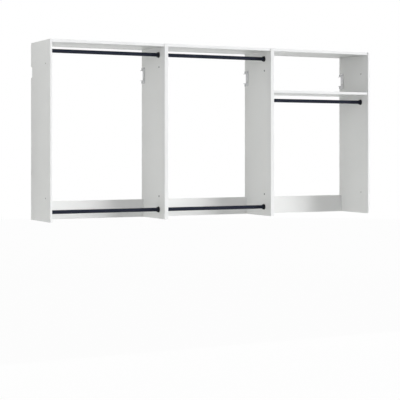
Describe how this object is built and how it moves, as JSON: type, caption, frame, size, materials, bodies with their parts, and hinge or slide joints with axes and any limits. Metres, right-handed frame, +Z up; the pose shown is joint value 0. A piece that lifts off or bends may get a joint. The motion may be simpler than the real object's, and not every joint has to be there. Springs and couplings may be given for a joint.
{
  "type": "wall-mounted closet system",
  "caption": "White wall-hung closet of notched board sides and fixed shelves, with black hanging rods in round end cups and a low rear rail in each bay.",
  "frame": {"origin": "on the wall plane, at the middle of the width, at the height where the hanging brackets sit on the wall's rail", "axes": "+X to the right along the wall, +Y into the wall, so the open front faces -Y, and +Z up"},
  "size_m": [2.43, 0.37, 1.161],
  "materials": {
    "melamine_board": "smooth matt white melamine on particle board",
    "edging": "smooth satin white edge strip",
    "black_tube": "satin black powder coat on steel tube",
    "black_cup": "satin black moulded plastic",
    "zinc_plate": "bright zinc-plated sheet steel",
    "cast_zinc": "dull die-cast zinc",
    "steel_fastener": "nickel-plated steel",
    "white_cap": "satin white moulded plastic",
    "beech": "fluted raw beech"
  },
  "bodies": {
    "carcass": {"bracket_screws": "steel_fastener", "cam_bolts": "steel_fastener", "cam_caps": "white_cap", "cam_locks": "cast_zinc", "cup_screws": "steel_fastener", "dowels": "beech", "joining_bolts": "steel_fastener", "joining_sleeves": "steel_fastener", "left_unit_left_bracket": "zinc_plate", "left_unit_left_side": "melamine_board", "left_unit_left_side_edging": "edging", "left_unit_lower_rod_left_cup": "black_cup", "left_unit_lower_rod_right_cup": "black_cup", "left_unit_rear_rail": "melamine_board", "left_unit_rear_rail_edging": "edging", "left_unit_right_bracket": "zinc_plate", "left_unit_right_side": "melamine_board", "left_unit_right_side_edging": "edging", "left_unit_top_shelf": "melamine_board", "left_unit_top_shelf_edging": "edging", "left_unit_upper_rod_left_cup": "black_cup", "left_unit_upper_rod_right_cup": "black_cup", "middle_unit_left_bracket": "zinc_plate", "middle_unit_left_side": "melamine_board", "middle_unit_left_side_edging": "edging", "middle_unit_lower_rod_left_cup": "black_cup", "middle_unit_lower_rod_right_cup": "black_cup", "middle_unit_rear_rail": "melamine_board", "middle_unit_rear_rail_edging": "edging", "middle_unit_right_bracket": "zinc_plate", "middle_unit_right_side": "melamine_board", "middle_unit_right_side_edging": "edging", "middle_unit_top_shelf": "melamine_board", "middle_unit_top_shelf_edging": "edging", "middle_unit_upper_rod_left_cup": "black_cup", "middle_unit_upper_rod_right_cup": "black_cup", "right_unit_left_bracket": "zinc_plate", "right_unit_left_side": "melamine_board", "right_unit_left_side_edging": "edging", "right_unit_lower_shelf": "melamine_board", "right_unit_lower_shelf_edging": "edging", "right_unit_rear_rail": "melamine_board", "right_unit_rear_rail_edging": "edging", "right_unit_right_bracket": "zinc_plate", "right_unit_right_side": "melamine_board", "right_unit_right_side_edging": "edging", "right_unit_rod_left_cup": "black_cup", "right_unit_rod_right_cup": "black_cup", "right_unit_top_shelf": "melamine_board", "right_unit_top_shelf_edging": "edging"},
    "left_unit_upper_rod": {"left_unit_upper_rod": "black_tube"},
    "left_unit_lower_rod": {"left_unit_lower_rod": "black_tube"},
    "middle_unit_upper_rod": {"middle_unit_upper_rod": "black_tube"},
    "middle_unit_lower_rod": {"middle_unit_lower_rod": "black_tube"},
    "right_unit_rod": {"right_unit_rod": "black_tube"}
  },
  "joints": [
    {"name": "left_unit_upper_rod_spin", "type": "hinge", "parent": "carcass", "child": "left_unit_upper_rod", "pos_m": [-0.81, -0.276, 0.092], "axis": [1, 0, 0], "continuous": true},
    {"name": "left_unit_lower_rod_spin", "type": "hinge", "parent": "carcass", "child": "left_unit_lower_rod", "pos_m": [-0.81, -0.276, -0.939], "axis": [1, 0, 0], "continuous": true},
    {"name": "middle_unit_upper_rod_spin", "type": "hinge", "parent": "carcass", "child": "middle_unit_upper_rod", "pos_m": [0, -0.276, 0.092], "axis": [1, 0, 0], "continuous": true},
    {"name": "middle_unit_lower_rod_spin", "type": "hinge", "parent": "carcass", "child": "middle_unit_lower_rod", "pos_m": [0, -0.276, -0.939], "axis": [1, 0, 0], "continuous": true},
    {"name": "right_unit_rod_spin", "type": "hinge", "parent": "carcass", "child": "right_unit_rod", "pos_m": [0.81, -0.276, -0.196], "axis": [1, 0, 0], "continuous": true}
  ]
}
